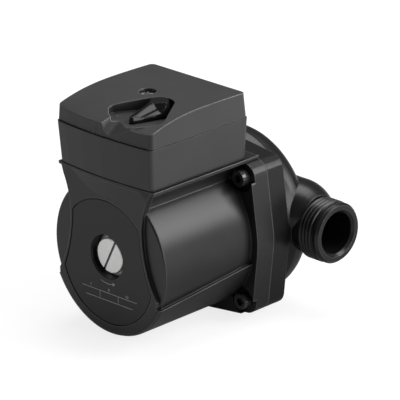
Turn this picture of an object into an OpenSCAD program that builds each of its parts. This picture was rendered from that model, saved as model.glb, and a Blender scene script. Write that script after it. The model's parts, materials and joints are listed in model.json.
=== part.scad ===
// Circulation pump for heating water: a glandless pump with a wet rotor.
// Origin: where the line through the two pipe ports crosses the motor axis.
// X runs along the pipe, -Y points to the front of the motor, +Z to the terminal box.
// All lengths are in millimetres.

/* [Pipe ports] */
// Length between the two port faces
port_to_port = 130; // [124:1:150]
// Outside diameter of the port thread
thread_d = 33.25; // [32:0.05:34.5]
// Pitch of the port thread
thread_pitch = 2.309; // [2:0.001:2.6]
// Depth of the port thread
thread_depth = 1.479; // [1:0.001:1.6]
// Number of thread turns on each port
thread_turns = 4; // [3:1:5]
// Plain length between the thread and the port face
port_lead = 4.5; // [4:0.5:7]
// Water bore of each port
port_bore_d = 22.6; // [20:0.1:24]
// Chamfer at the mouth of each port
port_chamfer = 1.5; // [1:0.1:2]

/* [Pump casing] */
// Distance from the pipe line to the joint with the motor
parting_y = 28; // [27:0.5:31]
// Radius of the volute body
volute_r = 46.7; // [46.2:0.1:48]
// Radius of the rounded edge at the back of the volute
volute_edge_r = 12; // [9:0.5:14]
// Thickness of the casing flange
casing_flange_t = 11.5; // [11:0.5:12.5]
// Radius of the pump chamber
chamber_r = 35; // [33.5:0.1:35.5]
// Depth of the pump chamber
chamber_depth = 10.5; // [10:0.1:11]

/* [Motor housing] */
// Length of the motor from its front face to the joint
motor_len = 75.5; // [73:0.5:79]
// Radius of the upper barrel
barrel_r = 41.1; // [40.3:0.1:42]
// Radius of the lower barrel, which stands proud below the side steps
lower_r = 42.9; // [42.4:0.1:44]
// Bore of the housing, which holds the stator
housing_bore_r = 37.5; // [37:0.1:38]
// Thickness of the front wall
front_wall = 6; // [5.5:0.1:7]
// Radius of the flange ring
flange_r = 45.7; // [45:0.1:46.5]
// Thickness of the flange ring
flange_t = 11.9; // [11.5:0.1:13]
// Distance of each flange screw from the motor axis
screw_circle_r = 48.3; // [48:0.1:49]
// Radius of the lug round each flange screw
lug_r = 7.5; // [7:0.1:8]
// Distance below the motor axis of the flat under the flanges and the casing
stand_z = 45.2; // [45:0.1:45.5]

/* [Terminal box] */
// Half of the box width at the lid seam
box_half_w = 34.9; // [34.5:0.1:37]
// Gap between the back of the box and the joint with the casing
box_gap = 6.9; // [6.5:0.1:7.5]
// Height of the box floor's underside above the motor axis
box_z = 43.6; // [43.4:0.1:44.5]
// Height of the box base
base_h = 22.8; // [22:0.1:25]
// Height of the lid at its crown
lid_h = 13.4; // [13:0.1:14]
// Wall of the box and the lid
box_wall = 2; // [1.8:0.1:2.2]
// Radius of the upright edges
box_edge_r = 2.6; // [2.2:0.1:3.2]

/* [Speed knob] */
// Place of the knob axis across the lid
knob_x = 12.5; // [11.5:0.1:13]
// Distance of the knob axis from the front face of the motor
knob_depth = 26; // [25.5:0.1:26.5]
// Length of the knob from its axis to its pointed end
knob_reach = 18.6; // [18:0.1:19]
// Radius of the round end of the knob
knob_r = 7.4; // [7:0.1:7.6]
// Turn from the middle speed to the low or the high speed, in degrees
speed_angle = 36; // [30:1:38]

/* [Rotor and shaft] */
// Diameter of the shaft
shaft_d = 8; // [7.8:0.1:8.2]
// Radius of the rotor inside its jacket
rotor_r = 19.8; // [19.4:0.1:19.9]
// Length of the motor that the walls, bearings and coil ends need besides the rotor
rotor_room = 47.5; // [47:0.5:49.5]
// Radius of the impeller
impeller_r = 29; // [28:0.1:29.5]
// Height of the impeller passages
vane_h = 4.6; // [4.3:0.1:4.8]
// Number of impeller vanes
vanes = 6; // [5:1:8]

/* [Vent plug] */
// Radius of the vent opening in the motor front
vent_r = 12.06; // [12:0.01:12.4]
// Radius of the plug head
plug_r = 9.5; // [9.3:0.1:9.9]
// Radius of the plug thread
plug_thread_r = 8; // [7.8:0.1:8.2]

/* [Cable gland] */
// Radius of the thread through the box wall
gland_r = 7.6; // [7.4:0.1:8]
// Radius of the cable opening
cable_r = 4.5; // [4.1:0.1:4.8]

/* [Hidden] */

// Fineness of round faces and of rounded outlines
$fn = 96;
edge_fn = 32;

// Shared clearances and the overrun of every cut
fit_clearance = 0.04;
seat_clearance = 0.1;
run_clearance = 0.3;
overrun = 1;

// Distances along the motor axis, counted from the front face of the motor
front_reach = motor_len + parting_y;
barrel_step = 2.1;
pad_edge = 0.8;
flange_front = motor_len - flange_t;

// Flange lugs and their screws
lug_share = sqrt(1 / 2);
screw_at = screw_circle_r * lug_share;
screw_head_r = 4.25;
screw_head_h = 5;
screw_shank_r = 2.5;
screw_len = 18;
screw_hex_r = 2.35;
screw_hex_depth = 2.6;
lug_drop = 2.7;
lug_face = flange_front + lug_drop;
pocket_r = lug_r + run_clearance;

// Seat of the bearing plate in the motor housing and in the casing
plate_seat_r = 39.5;
can_flange_t = 0.9;
bearing_plate_t = 3.5;
gasket_t = 2;
gasket_w = 4;
seat_depth = motor_len - bearing_plate_t - can_flange_t - seat_clearance;
chamber_front = motor_len + gasket_t;
chamber_floor = chamber_front + chamber_depth;
chamber_shift = 3;

// Wear ring in the wall between the pump chamber and the suction side
partition_t = 4.2;
eye_r = 12;
eye_wall = 1.4;
wear_wall = 1.9;
wear_r = eye_r + eye_wall + run_clearance;
wear_seat_r = wear_r + wear_wall;
suction_r = 14;
discharge_x = 30;
discharge_r = 7.4;

// Port necks
port_half = port_to_port / 2;
port_bore_r = port_bore_d / 2;
thread_r = thread_d / 2;
thread_root_r = thread_r - thread_depth;
thread_start = port_half - port_lead - thread_turns * thread_pitch;

// Swell of the casing above each port neck
bulge_z = 5;
bulge_max_r = 17.6;
bulge_fall = 5.2;
bulge_flat = 36;
bulge_steps = 8;

// Body of the casing round the motor axis
body_start_r = 44;
body_swell = 5;
body_full_at = motor_len + casing_flange_t + body_swell;
body_round_at = 94.8;
body_round_steps = 10;
suction_wall = 4.5;

// Rotor, shaft and bearings along the motor axis
shaft_r = shaft_d / 2;
shaft_start = 15.5;
bush_r = 7;
bush_len = 7;
holder_r = 9.5;
holder_t = 2;
can_wall = 0.4;
can_gap = 0.5;
jacket_wall = 0.4;
thrust_t = 2.7;
thrust_r = 9;
cushion_t = 1.5;
can_front = 14;
can_neck_r = 11.5;
holder_gap = 1.4;
front_bush_at = can_front + can_wall + holder_gap;
thrust_at = front_bush_at + bush_len + run_clearance;
cushion_at = thrust_at + thrust_t;
rotor_at = cushion_at + cushion_t;
rotor_len = motor_len - rotor_room;
rotor_end = rotor_at + rotor_len;
jacket_r = rotor_r + fit_clearance + jacket_wall;
can_bore_r = jacket_r + can_gap;
can_r = can_bore_r + can_wall;
rear_bush_gap = 6.4;
rear_bush_at = rotor_end + rear_bush_gap;
plate_at = motor_len - bearing_plate_t;

// Impeller along the motor axis
shroud_t = 1.5;
impeller_gap = 1.3;
impeller_at = chamber_front + impeller_gap;
hub_r = 7.5;
nut_r = 5.8;
nut_t = 2.4;
shroud_at = impeller_at + shroud_t + vane_h;
shroud_end = shroud_at + shroud_t;
eye_h = 3.6;
eye_end = shroud_end + eye_h;
hub_end = shroud_end;
shaft_tail = 1.2;
shaft_end = hub_end + nut_t + shaft_tail;
vane_t = 1.5;
vane_sweep = 105;
vane_steps = 14;
vane_hub_gap = 5.5;
vane_rim_gap = 0.5;

// Stator and its winding
stator_over = 1;
stator_at = rotor_at - stator_over;
stator_len = rotor_len + 2 * stator_over;
stator_bore_r = can_r + seat_clearance;
stator_r = housing_bore_r - fit_clearance;
slots = 12;
tooth_tip = 1.6;
yoke = 4.4;
slot_in_r = stator_bore_r + tooth_tip;
slot_out_r = stator_r - yoke;
slot_w = 5.2;
slot_gap = 0.3;
coil_h = 7.4;

// Name plate and the raised pad round it
plate_disc_r = 33.5;
plate_drop = 2.9;
plate_side_r = 87.8;
plate_side_x = 112.2;
plate_side_z = 22.7;
plate_t = 0.8;
plate_depth = 1;
plate_gap = 0.55;
vent_seal_t = 1;
plug_front = 2.2;
plug_slot_angle = 28;
plug_back = front_wall - can_wall - vent_seal_t;
pad_half_w = 26.3;
pad_waist_z = 19;
pad_low_r = 65;
pad_high_r = 44;
step_front_z = -19.2;
step_rise = 7.7;

// Platform that carries the terminal box
lip_w = 1.5;
lip_t = 1.6;
lip_front = -1.2;
blend_h = 14;
cove_waist = 26.1;
cove_z = 31.7;
face_fillet = 2.4;
fillet_share = 0.3;
bow_tilt = 6.3;
lead_hole_r = 5;
lead_hole_x = 8;
lead_hole_at = 21;

// Terminal box outline
box_front = -1.5;
box_len = motor_len - box_gap - box_front;
bow = 2.3;
bow_r = (box_half_w * box_half_w + bow * bow) / (2 * bow);
base_draft = 1.1;
base_half_w = box_half_w - base_draft;
base_len = box_len - 0.5 * base_draft;
lid_draft = 0.8;
seam_z = box_z + base_h;
floor_t = 2;
box_gasket_t = 0.8;
base_gasket_w = 2.6;
box_mid = box_front + box_len / 2;

// Crown of the lid
crown_z = seam_z + lid_h;
crown_at = 46.5;
crown_drop = 6.6;
crown_fall = 0.4;
crown_power = 2.6;
crown_steps = 20;
lid_top_t = 2.2;
lid_lip_h = 1.8;
lid_lip_t = 1.3;

// Recess of the knob in the lid
recess_depth = 6.5;
recess_floor_z = crown_z - recess_depth;
recess_corner_r = 3.6;
recess_reach = 20.6;
recess_spare = 12;
recess_angle = speed_angle + recess_spare;
recess_apex_r = 9.2;
recess_t = 1.8;

// Scoop that runs from the recess down the front of the lid
scoop_deep_r = 5.5;
scoop_deep_x = 6.2;
scoop_deep_rise = 6.7;
scoop_deep_z = seam_z + scoop_deep_rise;
scoop_end_r = 3;
scoop_end_x = 21;
scoop_end_rise = 8.6;
scoop_end_z = seam_z + scoop_end_rise;
scoop_tilt = 34;
scoop_len = 16;

// Lid screw
lid_screw_x = -3.6;
lid_screw_depth = 35.2;
lid_hole_r = 4.65;
lid_well_depth = 4;
lid_well_t = 1.6;
lid_screw_head_r = 3.9;
lid_screw_head_h = 2.3;
lid_screw_r = 1.9;
lid_screw_len = 20;
lid_screw_slot_w = 1;
lid_cross_share = 0.7;
post_r = 4.6;

// Speed knob, switch and spindle
knob_tip_r = 1.7;
knob_h = 6.9;
knob_foot_h = 1.1;
knob_tip_h = 2.9;
knob_top_share = 0.72;
knob_top_shift = 1.2;
knob_tip_share = 0.7;
finger_r = 6;
finger_x = 7.1;
finger_end = 3.5;
finger_fade = 5;
finger_rise = 1.6;
finger_tilt = 8;
finger_turn = -3;
knob_neck_r = 4.4;
knob_ring_r = 6.1;
knob_ring_t = 1.5;
blade_w = 2.4;
blade_l = 5.6;
blade_h = 4;
spindle_r = 4.2;
switch_l = 22;
switch_w = 22;
switch_h = 7;
board_t = 1.6;
board_left = 1.8;
board_gap = 1;
board_l = base_half_w - box_wall - board_gap - board_left;
board_w = 24;
board_x = board_left + board_l / 2;
post_inset = 1.6;
spindle_top = recess_floor_z - recess_t - knob_ring_t - 2 * run_clearance;
blade_gap = 1.2;
spindle_drop = blade_h + blade_gap;
board_z = spindle_top - spindle_drop - switch_h - board_t;

// Capacitor, terminal block and small screws
capacitor_w = 13;
capacitor_h = 11;
capacitor_x = -17;
clip_t = 1;
clip_w = 6;
clip_share = 0.8;
block_l = 11;
block_w = 25;
block_h = 12;
block_x = -12.8;
block_inset = 17.6;
block_gap = 1;
block_depth = box_front + box_len - block_inset;
capacitor_at = 13.5;
capacitor_l = block_depth - block_w / 2 - block_gap - capacitor_at;
capacitor_depth = capacitor_at + capacitor_l / 2;
poles = 3;
pole_pitch = 7.6;
small_screw_r = 1.5;
small_head_r = 2.6;
small_head_h = 1.8;
small_slot_w = 0.7;
wire_hole_r = 1.6;
box_screw_x = 22.5;
box_screw_inset = 9;
box_screw_len = 9;
box_screw_r = 1.9;
box_screw_head_r = 3.6;
box_screw_head_h = 2.2;
earth_x = 8;
earth_inset = 8.6;
earth_depth = box_front + box_len - earth_inset;

// Cable gland on the left side of the box
gland_depth = block_depth;
gland_rise = 11.8;
gland_z = box_z + gland_rise;
gland_flange_r = 10.5;
gland_flange_t = 4;
gland_body_l = 6;
gland_nut_l = 12;
gland_nut_r = 10;
gland_lock_t = 3.2;
gland_lock_r = 9;
gland_seal_l = 8;
gland_seal_wall = 1.6;
gland_hex_share = 0.6;
gland_skirt_share = 0.9;
gland_top_share = 0.82;
hex_sides = 6;

// Winding leads
leads = 4;
lead_r = 0.9;
lead_pitch = 2.1;

// Colours
cast_black = [0.13, 0.13, 0.14];
plastic_dark = [0.24, 0.24, 0.25];
plastic_gloss = [0.08, 0.08, 0.09];
steel_colour = [0.72, 0.73, 0.75];
rubber_colour = [0.1, 0.1, 0.1];
carbon_colour = [0.22, 0.22, 0.24];
brass_colour = [0.8, 0.66, 0.35];

// Distance along Y of a point that lies a given depth behind the motor front
function at(depth) = depth - front_reach;

// Outline in X and Z, drawn out between two depths
module slab(from, to) {
    translate([0, at(to), 0])
        rotate([90, 0, 0])
            linear_extrude(to - from)
                children();
}

// Outline of radius and depth, turned round the motor axis
module turned() {
    translate([0, -front_reach, 0])
        rotate([-90, 0, 0])
            rotate_extrude()
                children();
}

// Ring round the motor axis between two depths
module ring(outer, inner, from, to) {
    turned()
        translate([inner, from])
            square([outer - inner, to - from]);
}

// Solid round bar along the motor axis, also off it
module bar(r, from, to, x = 0, z = 0) {
    translate([x, at(from), z])
        rotate([-90, 0, 0])
            cylinder(r = r, h = to - from);
}

// The children at the four flange screws
module at_screws() {
    for (x = [-screw_at, screw_at])
        for (z = [-screw_at, screw_at])
            translate([x, 0, z])
                children();
}

// Rounded rectangle with its middle at the origin
module round_rect(w, h, r) {
    offset(r)
        square([w - 2 * r, h - 2 * r], center = true);
}

// Pump casing

// Radius of the swell above a port neck, at a share of the way to the thread
function bulge_r(share) = bulge_max_r - bulge_fall * pow(share, 2);

// Outline of the flange: a ring with four lugs, drawn together into one smooth shape
module flange_outline() {
    hull() {
        circle(r = flange_r);
        for (x = [-screw_at, screw_at])
            for (z = [-screw_at, screw_at])
                translate([x, z])
                    circle(r = lug_r, $fn = edge_fn);
    }
}

module casing_body() {
    body_start = motor_len + casing_flange_t / 2;
    flat_r = volute_r - volute_edge_r;
    turned()
        polygon(concat(
            [[0, body_start], [body_start_r, body_start], [volute_r, body_full_at]],
            [for (i = [0 : body_round_steps]) let (a = 90 * i / body_round_steps)
                [flat_r + volute_edge_r * cos(a), body_round_at + volute_edge_r * sin(a)]],
            [[0, body_round_at + volute_edge_r]]));
}

module port_neck() {
    crest_w = thread_pitch / 8;
    rotate([0, 90, 0])
        rotate_extrude()
            polygon(concat(
                [[0, 0], [thread_root_r, 0]],
                [for (i = [0 : thread_turns - 1]) each [
                    [thread_root_r, thread_start + i * thread_pitch + crest_w],
                    [thread_r, thread_start + (i + 1 / 2) * thread_pitch - crest_w],
                    [thread_r, thread_start + (i + 1 / 2) * thread_pitch + crest_w]]],
                [[thread_root_r, port_half - port_lead],
                    [thread_r - crest_w, port_half - port_lead + thread_depth],
                    [thread_r - crest_w, port_half - thread_depth],
                    [thread_root_r, port_half],
                    [0, port_half]]));
    translate([0, 0, bulge_z])
        rotate([0, 90, 0])
            rotate_extrude()
                polygon(concat(
                    [[0, 0], [bulge_max_r, 0]],
                    [for (i = [0 : bulge_steps]) let (share = i / bulge_steps)
                        [bulge_r(share), bulge_flat + (thread_start - bulge_flat) * share]],
                    [[0, thread_start]]));
}

module port_bore() {
    rotate([0, 90, 0])
        union() {
            cylinder(r = port_bore_r, h = port_half + overrun);
            translate([0, 0, port_half - port_chamfer])
                cylinder(r1 = port_bore_r, r2 = port_bore_r + port_chamfer, h = port_chamfer);
            translate([0, 0, port_half])
                cylinder(r = port_bore_r + port_chamfer, h = overrun);
        }
}

// Cutter for the flat under the flanges and the casing
module stand_cut() {
    translate([-volute_r, -front_reach, -stand_z - volute_r])
        cube([2 * volute_r, 2 * front_reach, volute_r]);
}

module pump_casing() {
    color(cast_black)
        difference() {
            union() {
                casing_body();
                slab(motor_len, motor_len + casing_flange_t)
                    flange_outline();
                sphere(r = suction_r + suction_wall);
                port_neck();
                mirror([1, 0, 0])
                    port_neck();
            }
            ring(plate_seat_r, 0, motor_len - overrun, chamber_front);
            bar(chamber_r, chamber_front - overrun, chamber_floor, chamber_shift);
            bar(wear_seat_r, chamber_floor - overrun, chamber_floor + partition_t);
            bar(eye_r, chamber_floor, front_reach);
            sphere(r = suction_r);
            mirror([1, 0, 0])
                port_bore();
            intersection() {
                port_bore();
                translate([discharge_x, -port_half, -port_half])
                    cube([port_half, port_to_port, port_to_port]);
            }
            translate([discharge_x, 0, 0])
                sphere(r = port_bore_r);
            bar(discharge_r, chamber_floor - overrun, front_reach, discharge_x);
            at_screws()
                bar(screw_shank_r + fit_clearance, motor_len - overrun, lug_face + screw_len + overrun);
            stand_cut();
        }
}

module casing_gasket() {
    color(rubber_colour)
        ring(plate_seat_r - seat_clearance, plate_seat_r - gasket_w,
            motor_len + fit_clearance, chamber_front - fit_clearance);
}

module wear_ring() {
    color(steel_colour)
        ring(wear_seat_r - fit_clearance, wear_r, chamber_floor, chamber_floor + partition_t - fit_clearance);
}

// Impeller and rotor

// Point on the middle line of a vane, at a share of the way out
function vane_point(share, side) =
    let (r = hub_r + vane_hub_gap + (impeller_r - hub_r - vane_hub_gap - vane_rim_gap) * share,
        a = vane_sweep * share)
    [(r + side) * cos(a), (r + side) * sin(a)];

module vane() {
    polygon(concat(
        [for (i = [0 : vane_steps]) vane_point(i / vane_steps, -vane_t / 2)],
        [for (i = [vane_steps : -1 : 0]) vane_point(i / vane_steps, vane_t / 2)]));
}

module impeller() {
    color([0.86, 0.84, 0.78])
        union() {
            ring(impeller_r, shaft_r + fit_clearance, impeller_at, impeller_at + shroud_t);
            ring(hub_r, shaft_r + fit_clearance, impeller_at, hub_end);
            ring(impeller_r, eye_r, shroud_at, shroud_end);
            ring(eye_r + eye_wall, eye_r, shroud_at, eye_end);
            for (i = [0 : vanes - 1])
                slab(impeller_at + shroud_t / 2, shroud_at + shroud_t / 2)
                    rotate(i * 360 / vanes)
                        vane();
        }
}

module impeller_nut() {
    color(brass_colour)
        difference() {
            turned()
                translate([0, hub_end])
                    square([nut_r, nut_t]);
            bar(shaft_r + fit_clearance, hub_end - overrun, hub_end + nut_t + overrun);
        }
}

module shaft() {
    slot_w = shaft_r / 3;
    slot_depth = shaft_r / 2;
    color([0.9, 0.89, 0.86])
        difference() {
            bar(shaft_r, shaft_start, shaft_end);
            translate([-shaft_r - overrun, at(shaft_start) - overrun, -slot_w / 2])
                cube([shaft_d + 2 * overrun, slot_depth + overrun, slot_w]);
        }
}

module rotor_core() {
    color(steel_colour)
        ring(rotor_r, shaft_r + fit_clearance, rotor_at, rotor_end);
}

module rotor_jacket() {
    color([0.8, 0.8, 0.82])
        ring(jacket_r, rotor_r + fit_clearance, rotor_at, rotor_end);
}

module thrust_ring() {
    color(carbon_colour)
        ring(thrust_r, shaft_r + fit_clearance, thrust_at, cushion_at - fit_clearance);
}

module thrust_cushion() {
    color(rubber_colour)
        ring(thrust_r, shaft_r + fit_clearance, cushion_at, rotor_at - fit_clearance);
}

// Bearings and their carriers

module front_bearing() {
    color(carbon_colour)
        ring(bush_r, shaft_r + fit_clearance, front_bush_at, front_bush_at + bush_len);
}

module front_bearing_holder() {
    holder_at = can_front + can_wall + fit_clearance;
    vents = 6;
    vent_hole_r = 2;
    color(steel_colour)
        difference() {
            union() {
                ring(can_bore_r - fit_clearance, bush_r + fit_clearance, holder_at, holder_at + holder_t);
                ring(holder_r, bush_r + fit_clearance, holder_at, front_bush_at + bush_len);
            }
            for (i = [0 : vents - 1])
                rotate([0, i * 360 / vents, 0])
                    bar(vent_hole_r, holder_at - overrun, holder_at + holder_t + overrun,
                        (holder_r + can_bore_r) / 2);
        }
}

module rear_bearing() {
    color(carbon_colour)
        ring(bush_r, shaft_r + fit_clearance, rear_bush_at, rear_bush_at + bush_len);
}

module bearing_plate() {
    vents = 4;
    vent_hole_r = 1.5;
    plate_r = plate_seat_r - seat_clearance;
    color(steel_colour)
        difference() {
            union() {
                ring(plate_r, shaft_r + run_clearance, plate_at, motor_len);
                ring(holder_r, bush_r + fit_clearance, rear_bush_at, plate_at + fit_clearance);
            }
            for (i = [0 : vents - 1])
                rotate([0, (i + 1 / 2) * 360 / vents, 0])
                    bar(vent_hole_r, plate_at - overrun, motor_len + overrun, (holder_r + can_bore_r) / 2);
        }
}

module rotor_can() {
    neck_front = front_wall - can_wall;
    rim_at = seat_depth;
    color([0.75, 0.75, 0.77])
        turned()
            polygon([
                [plug_thread_r + fit_clearance, neck_front],
                [can_neck_r, neck_front],
                [can_neck_r, can_front],
                [can_r, can_front],
                [can_r, rim_at],
                [plate_seat_r - seat_clearance, rim_at],
                [plate_seat_r - seat_clearance, rim_at + can_flange_t],
                [can_bore_r, rim_at + can_flange_t],
                [can_bore_r, can_front + can_wall],
                [plug_thread_r + fit_clearance, can_front + can_wall]]);
}

module can_front_seal() {
    seal_t = can_front - front_wall;
    color(rubber_colour)
        ring(can_neck_r + 3 * seat_clearance + seal_t / 2, can_neck_r + seat_clearance,
            front_wall + fit_clearance, can_front - fit_clearance);
}

// Stator

module slot_outline(shrink) {
    for (i = [0 : slots - 1])
        rotate(i * 360 / slots)
            translate([slot_in_r + shrink, -slot_w / 2 + shrink])
                square([slot_out_r - slot_in_r - 2 * shrink, slot_w - 2 * shrink]);
}

module stator_core() {
    color([0.5, 0.5, 0.53])
        slab(stator_at, stator_at + stator_len)
            difference() {
                circle(r = stator_r);
                circle(r = stator_bore_r);
                slot_outline(0);
            }
}

module stator_winding() {
    coil_in = slot_in_r + slot_gap;
    coil_out = slot_out_r - slot_gap;
    front_coil = stator_at - slot_gap - coil_h;
    rear_coil = stator_at + stator_len + slot_gap;
    color([0.72, 0.4, 0.2])
        union() {
            ring(coil_out, coil_in, front_coil, front_coil + coil_h);
            ring(coil_out, coil_in, rear_coil, rear_coil + coil_h);
            slab(front_coil + coil_h / 2, rear_coil + coil_h / 2)
                slot_outline(slot_gap);
        }
}

// Motor housing

module name_plate_outline(grow) {
    intersection() {
        translate([0, -plate_drop])
            circle(r = plate_disc_r + grow);
        difference() {
            square(4 * plate_disc_r, center = true);
            for (side = [-1, 1])
                translate([side * plate_side_x, plate_side_z])
                    circle(r = plate_side_r - grow);
        }
    }
}

// Half plane beside the pad, flared by two arcs that meet at its waist
module pad_side_cut() {
    intersection() {
        translate([pad_half_w + pad_low_r, pad_waist_z])
            circle(r = pad_low_r);
        translate([0, pad_waist_z - 2 * pad_low_r])
            square([4 * pad_low_r, 2 * pad_low_r]);
    }
    intersection() {
        translate([pad_half_w + pad_high_r, pad_waist_z])
            circle(r = pad_high_r);
        translate([0, pad_waist_z])
            square([4 * pad_high_r, pad_high_r]);
    }
}

// Front pad: flared sides, joined to the lower lobe and to the box platform
module pad_outline() {
    pad_r = lower_r - face_fillet - run_clearance;
    difference() {
        union() {
            intersection() {
                circle(r = pad_r);
                square(2 * [base_half_w + lip_w + pad_edge, pad_r], center = true);
            }
            translate([-base_half_w, 0])
                square([2 * base_half_w, box_z]);
        }
        pad_side_cut();
        mirror([1, 0])
            pad_side_cut();
    }
}

// Upright cylinder that gives the box, the lip and the pad their bowed front, leaned by an angle
module bowed_front(tilt) {
    translate([0, at(lip_front), box_z])
        rotate([tilt, 0, 0])
            translate([0, bow_r, -2 * box_z])
                cylinder(r = bow_r, h = 3 * box_z, $fn = 4 * $fn);
}

// The pad, with its top brought round to the bowed front of the box
module front_pad() {
    intersection() {
        slab(0, 2 * barrel_step)
            pad_outline();
        bowed_front(-bow_tilt);
    }
    intersection() {
        slab(2 * lip_front, 2 * barrel_step)
            intersection() {
                pad_outline();
                translate([-box_half_w, box_z - blend_h])
                    square([2 * box_half_w, 2 * blend_h]);
            }
        bowed_front(bow_tilt);
    }
}

// Platform section: a cove on each side, between the barrel and the lip under the box
module platform_outline() {
    cove_r = box_z - lip_t - cove_z;
    difference() {
        translate([-base_half_w, cove_z - cove_r - pad_edge])
            square([2 * base_half_w, 2 * cove_r + pad_edge]);
        for (side = [-1, 1])
            translate([side * (cove_waist + cove_r), cove_z])
                circle(r = cove_r);
    }
}

// Lower lobe of the barrel, cut off along a step that climbs towards the flange
module lower_lobe() {
    climb = atan(step_rise / (flange_front - barrel_step));
    intersection() {
        turned()
            polygon([
                [0, 0],
                [lower_r - face_fillet, 0],
                [lower_r - fillet_share * face_fillet, fillet_share * face_fillet],
                [lower_r, face_fillet],
                [lower_r, flange_front + flange_t / 2],
                [0, flange_front + flange_t / 2]]);
        translate([0, at(barrel_step), step_front_z])
            rotate([climb, 0, 0])
                translate([-2 * lower_r, -lower_r, -2 * lower_r])
                    cube([4 * lower_r, 4 * lower_r, 2 * lower_r]);
    }
}

module lip_plate() {
    lip_half = base_half_w + lip_w;
    translate([0, 0, box_z - lip_t])
        linear_extrude(lip_t)
            intersection() {
                translate([-lip_half, at(2 * lip_front)])
                    square([2 * lip_half, motor_len - 2 * lip_front]);
                translate([0, at(lip_front) + bow_r])
                    circle(r = bow_r, $fn = 4 * $fn);
            }
}

// Barrel with a small edge round its front face
module barrel() {
    turned()
        polygon([
            [0, barrel_step],
            [barrel_r - pad_edge, barrel_step],
            [barrel_r, barrel_step + pad_edge],
            [barrel_r, flange_front + flange_t / 2],
            [0, flange_front + flange_t / 2]]);
}

module motor_housing() {
    color(cast_black)
        difference() {
            union() {
                barrel();
                lower_lobe();
                front_pad();
                slab(barrel_step, motor_len - pad_edge)
                    platform_outline();
                lip_plate();
                slab(flange_front, motor_len)
                    intersection() {
                        flange_outline();
                        translate([-2 * flange_r, box_z - 4 * flange_r])
                            square(4 * flange_r);
                    }
            }
            slab(-overrun, plate_depth)
                name_plate_outline(plate_gap);
            bar(vent_r, -overrun, front_wall + overrun);
            ring(housing_bore_r, 0, front_wall, motor_len + overrun);
            ring(plate_seat_r, 0, seat_depth, motor_len + overrun);
            at_screws()
                union() {
                    bar(pocket_r, flange_front - overrun, lug_face);
                    bar(screw_shank_r + fit_clearance, lug_face - overrun, motor_len + overrun);
                }
            translate([lead_hole_x, at(lead_hole_at), housing_bore_r / 2])
                cylinder(r = lead_hole_r, h = box_z);
            box_screw_places()
                translate([0, 0, box_z - box_screw_len])
                    cylinder(r = box_screw_r + fit_clearance, h = box_screw_len + overrun);
            translate([earth_x, at(earth_depth), box_z - box_screw_len / 2])
                cylinder(r = small_screw_r + fit_clearance, h = box_screw_len);
            stand_cut();
        }
}

module flange_screws() {
    color([0.1, 0.1, 0.1])
        at_screws()
            difference() {
                union() {
                    bar(screw_head_r, lug_face - screw_head_h, lug_face);
                    bar(screw_shank_r, lug_face, lug_face + screw_len);
                }
                translate([0, at(lug_face - screw_head_h), 0])
                    rotate([-90, 0, 0])
                        translate([0, 0, -overrun])
                            cylinder(r = screw_hex_r, h = screw_hex_depth + overrun, $fn = hex_sides);
            }
}

module name_plate() {
    color([0.2, 0.2, 0.21])
        difference() {
            slab(plate_depth - plate_t, plate_depth)
                name_plate_outline(0);
            bar(vent_r, -overrun, front_wall);
        }
}

// Vent plug

module vent_plug() {
    slot_w = 1.3;
    slot_depth = 1.2;
    stub_len = 6;
    chamfer = 0.5;
    color([0.83, 0.83, 0.83])
        difference() {
            turned()
                polygon([
                    [0, plug_front],
                    [plug_r - chamfer, plug_front],
                    [plug_r, plug_front + chamfer],
                    [plug_r, plug_back],
                    [plug_thread_r - fit_clearance, plug_back],
                    [plug_thread_r - fit_clearance, plug_back + stub_len],
                    [0, plug_back + stub_len]]);
            translate([0, at(plug_front), 0])
                rotate([0, plug_slot_angle, 0])
                    translate([-slot_w / 2, -overrun, -plug_r - overrun])
                        cube([slot_w, slot_depth + overrun, 2 * (plug_r + overrun)]);
        }
}

module vent_seal() {
    color(rubber_colour)
        ring(plug_r, plug_thread_r + fit_clearance, plug_back + fit_clearance,
            front_wall - can_wall - fit_clearance);
}

// Terminal box

// Plan outline of the box, with its front face bowed outward; grow is an offset to all sides
module box_plan(half_w, len, grow) {
    translate([0, at(box_mid)])
        offset(grow, $fn = edge_fn)
            offset(box_edge_r, $fn = edge_fn)
                offset(-box_edge_r, $fn = edge_fn)
                    intersection() {
                        square([2 * half_w, len], center = true);
                        translate([0, bow_r - len / 2])
                            circle(r = bow_r, $fn = 4 * $fn);
                    }
}

// Tapered block with the box plan at its foot
module tapered_box(half_w, len, grow, h, foot_to_top) {
    translate([0, at(box_mid), 0])
        linear_extrude(h, slices = 1, scale = [foot_to_top, 1 + (foot_to_top - 1) * half_w / (len / 2)])
            translate([0, -at(box_mid)])
                box_plan(half_w, len, grow);
}

module box_gasket() {
    color(rubber_colour)
        translate([0, 0, box_z])
            linear_extrude(box_gasket_t - fit_clearance)
                difference() {
                    box_plan(base_half_w, base_len, -seat_clearance * 4);
                    box_plan(base_half_w, base_len, -base_gasket_w);
                }
}

module box_screw_places() {
    for (side = [-1, 1])
        for (inset = [box_screw_inset, box_len - box_screw_inset])
            translate([side * box_screw_x, at(box_front + inset), 0])
                children();
}

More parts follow.
